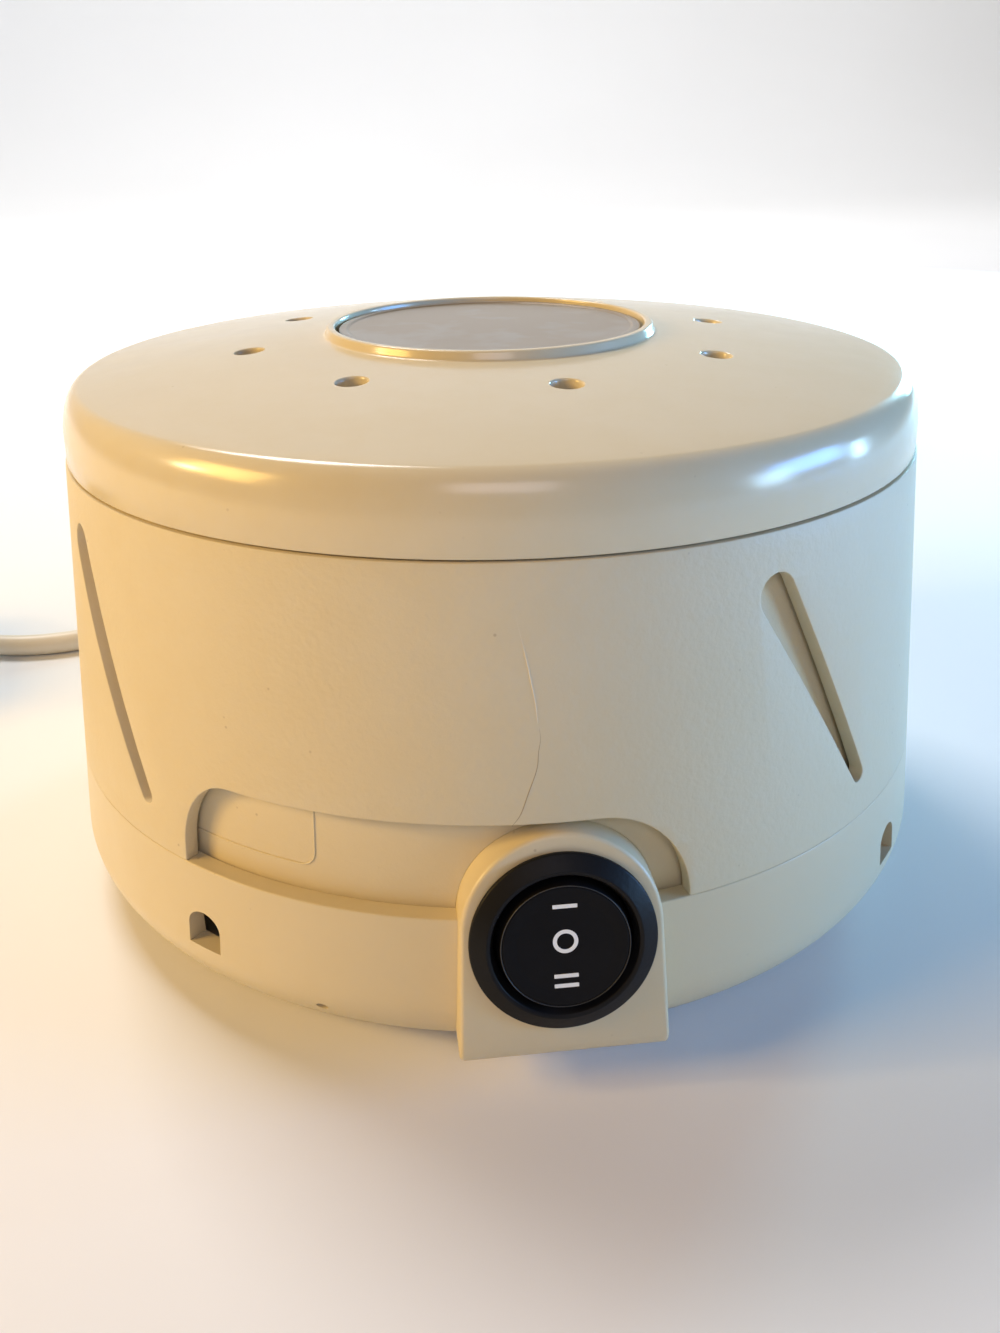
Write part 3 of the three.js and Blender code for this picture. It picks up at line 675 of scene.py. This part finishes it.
def switch_bore(segments):
    """A cutter for the round hole that the switch sits in."""
    return on_switch(turned([(0, -30), (10.2, -30), (10.2, 10), (0, 10)], segments, closed=False))


def add_switch_housing():
    """The arched housing round the switch: a leaning face with softened edges, and a rolled lip below."""
    lean = math.tan(math.radians(SWITCH_TILT))
    face_foot_z, back_y = 8.4, -62
    outline = [(-BOSS_FOOT_R, face_foot_z), (BOSS_FOOT_R, face_foot_z)] + boss_outline(0)[2:]
    count = len(outline)
    front = [(x, -SWITCH_REACH + (z - SWITCH_Z) * lean, z) for x, z in outline]
    back = [(x, back_y, z) for x, z in outline]
    lip = [(-77.3, 7.4), (-77.0, 6.8), (-76.5, 6.3), (-75.8, LIP_Z), (back_y, LIP_Z)]
    under = [(x, y, z) for y, z in lip for x in (-BOSS_FOOT_R, BOSS_FOOT_R)]
    faces = [tuple(range(count)), tuple(range(count, 2 * count))[::-1]]
    faces += [(i, count + i, count + (i + 1) % count, (i + 1) % count) for i in range(1, count)]
    first = 2 * count
    rows = [(0, 1)] + [(k, k + 1) for k in range(first, first + 2 * len(lip), 2)] + [(count, count + 1)]
    faces += [(a, b, d, c) for (a, b), (c, d) in zip(rows, rows[1:])]
    faces += [tuple(left for left, _ in rows), tuple(right for _, right in rows)[::-1]]
    mesh = mesh_of(front + back + under, faces)
    made = bmesh.new()
    made.from_mesh(mesh)
    bmesh.ops.recalc_face_normals(made, faces=made.faces)
    rim = [e for e in made.edges if len(e.link_faces) == 2 and e.calc_face_angle(0) > math.radians(28)
           and sum(v.co.y for v in e.verts) / 2 < back_y - 1]
    bmesh.ops.bevel(made, geom=rim, offset=0.6, segments=5, profile=0.5, affect="EDGES", clamp_overlap=True)
    made.to_mesh(mesh)
    made.free()
    housing = carved(placed(mesh), [switch_bore(64)])
    housing = add_object("switch_housing", housing, "base_body", BASE_PLASTIC, 25)


# ---- switch ---------------------------------------------------------------------------------
def on_switch(mesh):
    """From the switch's own frame in mm, +Z out of its face, to the frame in metres."""
    mesh.transform(Matrix.Translation((0, -SWITCH_REACH, SWITCH_Z))
                   @ Matrix.Rotation(math.radians(90 - SWITCH_TILT), 4, "X"))
    return placed(mesh)


def add_switch():
    crest = rounded([(9.85, GAP, 0), (12.4, GAP, 0.1), (12.35, 0.85, 0.4), (10.25, 2.0, 0.35),
                     (9.75, 1.85, 0.3), (9.2, 0.4, 0.3), (9.1, -9, 0)], 7)
    profile = [(0, -11), (9.9, -11)] + crest + [(0, -9)]
    bezel = turned(profile, 160, closed=False)
    body = add_object("switch_bezel", on_switch(bezel), "base_body", SWITCH_PLASTIC, 50)
    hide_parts("switch_body")
    pivot, top, low, r = -1.2, ROCKER_TOP, -5.2, 8.95
    start = math.degrees(math.asin(low / r))
    end = math.degrees(math.asin((top - pivot) / r))
    side = [(x, y + pivot) for x, y in arc(0, 0, r, r, start, end - 4, 16)]
    edge = side[-1][0]
    face = rounded([(edge, side[-1][1], 0), (edge - 0.2, top + 0.02, 0.35), (6.4, top - 0.22, 2),
                    (0, top - ROCKER_DISH, 0)], 6)
    profile = [(0, low + pivot)] + side[:-1] + face
    button = turned(profile, 128, closed=False)
    rocker = add_object("rocker_button", on_switch(button), "rocker_body", ROCKER_PLASTIC, 50)
    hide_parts("rocker")
    # a thin lighter ring round the rocker's rim: a painted edge highlight
    ring = turned(arc(edge - 0.08, top - 0.06, 0.07, 0.07, 0, 330, 11), 128)
    wear_and_highlight = add_object("rocker_edge_highlight", on_switch(ring), "rocker_body", ROCKER_EDGE_HIGHLIGHT)
    marks = [bar_mark(5.6), ring_mark(), bar_mark(-4.15), bar_mark(-5.5)]
    printed = add_object("switch_marks", on_switch(joined(marks)), "rocker_body", MARK_WHITE)


def rocker_face(x, y):
    """The height of the rocker's shallow dish at a place, and a hair more for the printed marks."""
    return ROCKER_TOP - ROCKER_DISH + 0.23 * min(1.0, math.hypot(x, y) / 6.2) + 0.015


def bar_mark(y):
    outline = [(-1.6, y - 0.27), (1.6, y - 0.27), (1.6, y + 0.27), (-1.6, y + 0.27)]
    mesh = prism(rounded([(*p, 0.12) for p in outline]), 0.04)
    for vertex in mesh.vertices:
        vertex.co.z += rocker_face(vertex.co.x, vertex.co.y) - 0.02
    return mesh


def ring_mark():
    low = rocker_face(1.4, 0) - 0.02
    mesh = turned([(1.12, low), (1.65, low), (1.65, low + 0.04), (1.12, low + 0.04)], 64)
    mesh.transform(Matrix.Translation((0, MARKS_UP, 0)))
    return mesh


# ---- mains lead -----------------------------------------------------------------------------
CORD_ROUTE = [
    (0, 98.3, CORD_EXIT_Z), (0, 106, 13.6), (-1.6, 114, 11.2), (-6.2, 121.6, 7.4), (-13.4, 127, 4.4),
    (-22, 129.3, 3), (-31, 127.6, 2.6), (-40, 122.8, 2.6), (-49, 116.2, 2.6), (-58, 109, 2.6),
    (-67, 101.4, 2.6), (-76, 93.8, 2.6), (-85.5, 86.6, 2.6), (-95.5, 82.4, 2.6), (-106, 81.4, 2.6),
    (-117, 83.6, 2.7), (-128, 88, 3.1), (-139, 93, 3.6),
]
TAIL_ROUTE = [
    (-194.5, 44, 17.6), (-194.5, 37, 15.2), (-194.2, 30, 11.8), (-193, 23.5, 8.7),
    (-191.6, 17.5, 7), (-191, 12, 6.6),
]
COIL = (-162, 62.8)
COIL_BOTTOM = 1.1


def coil_turns():
    """The wound turns: three abreast, in and out again, four layers high."""
    start, finish = 84.0, 180.0
    lanes = [32.5, 27.5, 22.5]
    order = [(lane, layer) for layer in range(4) for lane in (lanes if layer % 2 == 0 else lanes[::-1])]
    sweep = 360 * (len(order) - 1) + (finish - start) % 360
    points = []
    steps = int(sweep / 12)
    for k in range(steps + 1):
        turn = sweep * k / steps
        index = min(int(turn / 360), len(order) - 1)
        within = turn / 360 - index
        r, layer = order[index]
        after = order[min(index + 1, len(order) - 1)]
        ease = min(1.0, max(0.0, (within - 0.8) / 0.2))
        ease = ease * ease * (3 - 2 * ease)
        r += (after[0] - r) * ease
        z = COIL_BOTTOM + CORD_R + 2 * CORD_R * (layer + (after[1] - layer) * ease)
        a = math.radians(start + turn)
        points.append((COIL[0] + r * math.cos(a), COIL[1] + r * math.sin(a), z))
    return points


def add_lead():
    route = CORD_ROUTE + coil_turns() + TAIL_ROUTE
    path = smooth_path([Vector((x, y + AXIS_Y / MM, z)) * MM for x, y, z in route], 5)
    cord = swept("mains_lead", path, CORD_R * MM, "base_body", LEAD_PLASTIC)
    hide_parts("cord", "cord_coil", "cord_tail")
    add_strain_relief()
    add_tie()
    add_plug()


def add_strain_relief():
    """A tapered boot out of the base's wall, with a flange and flexing ribs."""
    profile = [(0, 64.4), (6.3, 64.4), (6.3, 66.6), (4.1, 66.6)]
    profile += rounded([(4.1, 74, 0), (6.4, 74, 0.3), (6.4, 75.8, 0.6), (5.0, 76.6, 0)], 4)
    for k in range(6):
        start = 78.2 + 2.9 * k
        outer = 4.95 - 0.24 * k
        groove = outer - 0.65
        profile += [(outer, start), (groove, start + 0.25), (groove, start + 0.95),
                    (outer - 0.12, start + 1.2)]
    profile += rounded([(3.5, 95.8, 0), (3.2, 98, 0.5), (2.55, 98, 0.2), (2.55, 97.2, 0)], 4) + [(0, 97.2)]
    boot = turned(profile, 64, closed=False)
    boot.transform(Matrix.Rotation(-math.pi / 2, 4, "X"))
    piece = add_object("strain_relief_boot", placed(boot, 0, 0, CORD_EXIT_Z), "base_body", LEAD_PLASTIC, 40)
    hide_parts("strain_relief")


def add_tie():
    """A rubbery strap round the coil's turns, a closed loop."""
    turn = math.radians(-25)
    middle_r, half, bottom, top = 27.5, 7.7, 0.42, 21.6
    loop = rounded([(-half, bottom, 2.2), (half, bottom, 2.2), (half, top, 4), (-half, top, 4)], 8)
    vertices = []
    for inset in (0.0, -0.8):
        for x, z in loop:
            sx = x * (half + inset * 0.5) / half
            sz = bottom + (z - bottom) * (top - bottom + inset * 0.5) / (top - bottom) - inset * 0.2
            for y in (-3.9, 3.9):
                along = middle_r + sx
                place = (COIL[0] + along * math.cos(turn) - y * math.sin(turn),
                         COIL[1] + along * math.sin(turn) + y * math.cos(turn) + AXIS_Y / MM, sz)
                vertices.append(Vector(place) * MM)
    count = len(loop)
    faces = []
    for k in range(count):
        n = (k + 1) % count
        a, b, c, d = 2 * k, 2 * n, 2 * n + 1, 2 * k + 1
        inner = 2 * count
        faces += [(a, b, c, d), (inner + a, inner + d, inner + c, inner + b),
                  (a, inner + a, inner + b, b), (d, c, inner + c, inner + d)]
    tie = add_object("lead_tie", mesh_of(vertices, faces), "base_body", RUBBER, 40)
    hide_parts("cord_tie")


def on_plug(mesh):
    """From the plug's own frame in mm, +Z out of its face, to where it lies."""
    x, y, z = TAIL_ROUTE[-1]
    mesh.transform(Matrix.Translation((x, y - 2 * GAP, z)) @ Matrix.Rotation(math.pi / 2, 4, "X"))
    return placed(mesh)


def add_plug():
    """A flat two-pin plug: a waisted grip with finger ridges, and two pierced blades."""
    grip = [(0, 0.4), (2.6, 0.4), (3.1, 1), (3.5, 5), (4.1, 9)]
    for k in range(3):
        start = 10.4 + 2.4 * k
        outer = 5.0 + 1.55 * k
        grip += [(outer, start), (outer + 0.5, start + 0.4), (outer + 0.6, start + 1.5),
                 (outer + 0.2, start + 1.9)]
    grip += [(9.8, 19), (11.1, 23)] + rounded([(11.5, 28, 0), (11.55, 33, 0.9), (0, 33, 0)], 6)
    body = turned(grip, 96, closed=False)
    body.transform(Matrix.Diagonal((1, 0.56, 1, 1)))
    piece = add_object("plug_body", on_plug(body), "base_body", LEAD_PLASTIC, 40)
    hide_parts("plug")
    for number, x in ((1, -6.35), (2, 6.35)):
        blade = rounded([(-3.1, 33.3, 0), (3.1, 33.3, 0), (3.1, 50, 1.6), (-3.1, 50, 1.6)], 6)
        drill = turned([(0, -2), (1.55, -2), (1.55, 4), (0, 4)], 32, closed=False)
        drill.transform(Matrix.Translation((0, 46.6, 0)))
        prong = carved(prism(blade, 1.45), [drill])
        on_edge = Matrix(((0, 0, 1, x - 0.725), (1, 0, 0, 0), (0, 1, 0, 0), (0, 0, 0, 1)))
        prong.transform(on_edge)
        piece = add_object(f"plug_prong_{number}", on_plug(prong), "base_body", BRASS, 30)
        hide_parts(f"plug_blade_{number}")


# ---- feet and screws ------------------------------------------------------------------------
def add_feet():
    """Round rubber feet with a soft edge and a dished, ringed underside."""
    top = UNDERSIDE_Z - GAP
    profile = [(0, 0.5)] + rounded([(2.2, 0.5, 0), (2.6, 0.1, 0.1), (3.0, 0, 0.1), (6.1, 0, 0.5),
                                    (7, 1.2, 0.8), (7, top, 0.15), (0, top, 0)], 4)
    for number, degrees in enumerate(FOOT_SPOTS, 1):
        mesh = placed(turned(profile, 96, closed=False), degrees, FOOT_RING_R)
        foot = add_object(f"rubber_foot_{number}", mesh, "base_body", RUBBER, 30)
        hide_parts(f"foot_{number}")


def add_screws():
    """Pan-head screws with a cross recess, up through the base."""
    shank = []
    pitch, thread_r, core_r = 1.1, 1.45, 1.1
    for k in range(14):
        shank += [(thread_r, 2.9 + k * pitch), (core_r, 3.3 + k * pitch), (core_r, 3.6 + k * pitch)]
    head = rounded([(0, 0, 0), (2.5, 0, 0.8), (3.2, 0.9, 0.6), (3.2, 2.3, 0.15), (1.45, 2.3, 0)], 5)
    profile = head + shank + [(0, 19)]
    arms = []
    for width, depth in ((0.75, 3.6), (3.6, 0.75)):
        cross = [(-width / 2, -depth / 2), (width / 2, -depth / 2), (width / 2, depth / 2),
                 (-width / 2, depth / 2)]
        arm = prism(cross, 2.2)
        arm.transform(Matrix.Translation((0, 0, -0.8)))
        arms.append(arm)
    for number, degrees in enumerate(SCREW_SPOTS, 1):
        mesh = carved(turned(profile, 48, closed=False), [arm.copy() for arm in arms])
        mesh = placed(mesh, degrees, SCREW_RING_R, 2.9)
        screw = add_object(f"pan_screw_{number}", mesh, "base_body", STEEL, 30)
        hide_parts(f"housing_screw_{number}")


# ---- the frame's own nodes ------------------------------------------------------------------
def finish_nodes():
    finishes = {
        "steel": STEEL, "laminations": LAMINATIONS, "winding": COPPER, "brass": BRASS, "nylon": NYLON,
        "rubber": RUBBER, "lead": LEAD_PLASTIC, "switch_plastic": SWITCH_PLASTIC,
        "base_plastic": BASE_PLASTIC, "inner_plastic": INNER_PLASTIC, "collar_plastic": COLLAR_PLASTIC,
        "cap_plastic": CAP_PLASTIC, "badge_plastic": BADGE_FOIL,
    }
    for part in frame["record"]["subparts"]:
        node = frame["nodes"][part["node"]]
        node.data.materials.clear()
        node.data.materials.append(finishes[part["material_slot"]])
        node.data.shade_smooth()
        node.data.set_sharp_from_angle(angle=math.radians(32))


# ---- studio ---------------------------------------------------------------------------------
def add_floor():
    """A pale floor that sweeps up behind the object."""
    behind, r = 1.3, 0.9
    bend = [(behind + r * math.sin(math.radians(t)), r - r * math.cos(math.radians(t)))
            for t in range(0, 91, 6)]
    profile = [(-1.6, 0)] + bend + [(2.2, 3.0)]
    vertices = [(x, y, z) for x in (-3.5, 3.5) for y, z in profile]
    count = len(profile)
    faces = [(i, i + count, i + count + 1, i + 1) for i in range(count - 1)]
    mesh = mesh_of(vertices, faces)
    mesh.shade_smooth()
    floor = linked("floor", mesh)
    s = Shader("floor_paper", 0.75)
    s.link(s.ramp(s.noise(3, 2), [(0.3, grey(0.80)), (0.7, grey(0.82))]), s.main.inputs["Base Color"])
    s.main.inputs["Specular IOR Level"].default_value = 0.15
    floor.data.materials.append(s.material)


def add_light(name, degrees, rise, distance, size, power, colour, aim=(0, 0, 0.05)):
    """An area light, placed by its compass angle round the drum, its rise and its distance."""
    data = bpy.data.lights.new(name, "AREA")
    data.shape = "RECTANGLE"
    data.size, data.size_y = size
    data.energy = power
    data.color = colour
    a, b = math.radians(degrees), math.radians(rise)
    toward = Vector((math.sin(a) * math.cos(b), -math.cos(a) * math.cos(b), math.sin(b)))
    light = linked(name, data)
    light.location = Vector(aim) + distance * toward
    light.rotation_euler = (-toward).to_track_quat("-Z", "Y").to_euler()


def add_studio():
    add_floor()
    world = bpy.data.worlds.new("studio")
    world.use_nodes = True
    world.node_tree.nodes["Background"].inputs["Color"].default_value = (0.93, 0.96, 1.0, 1)
    world.node_tree.nodes["Background"].inputs["Strength"].default_value = 0.03
    bpy.context.scene.world = world
    bpy.context.scene.view_settings.view_transform = "Standard"
    warm, cool = (1.0, 0.60, 0.14), (0.16, 0.42, 1.0)
    add_light("key", -150, 56, 1.3, (0.45, 0.45), 10.5, (1.0, 0.99, 0.98))
    add_light("warm_fill", -78, 24, 0.9, (0.35, 0.25), 5.6, warm)
    add_light("warm_lamp", -87, 19, 0.9, (0.06, 0.04), 1.0, (1.0, 0.82, 0.5))
    add_light("cool_fill", 76, 10, 0.9, (0.35, 0.2), 5.3, cool)
    add_light("pane_1", 63, 3, 0.8, (0.13, 0.16), 1.3, (0.42, 0.72, 1.0), (0, 0, 0.08))
    add_light("pane_2", 94, 2, 0.8, (0.05, 0.16), 0.9, (0.42, 0.72, 1.0), (0, 0, 0.08))
    add_light("pane_3", 139, 6, 0.8, (0.16, 0.18), 4.0, (0.35, 0.78, 1.0), (0, 0, 0.08))
    add_light("front_fill", -4, 34, 1.0, (0.4, 0.3), 1.4, (1.0, 0.92, 1.0))
    add_light("backdrop", 0, 32, 1.5, (2.4, 0.5), 27.0, (1, 1, 1), (0, 2.0, 0.4))


add_camera()
add_lead()
finish_nodes()
add_collar()
add_cap()
add_inner_housing()
add_base()
add_switch()
add_feet()
add_screws()
add_studio()
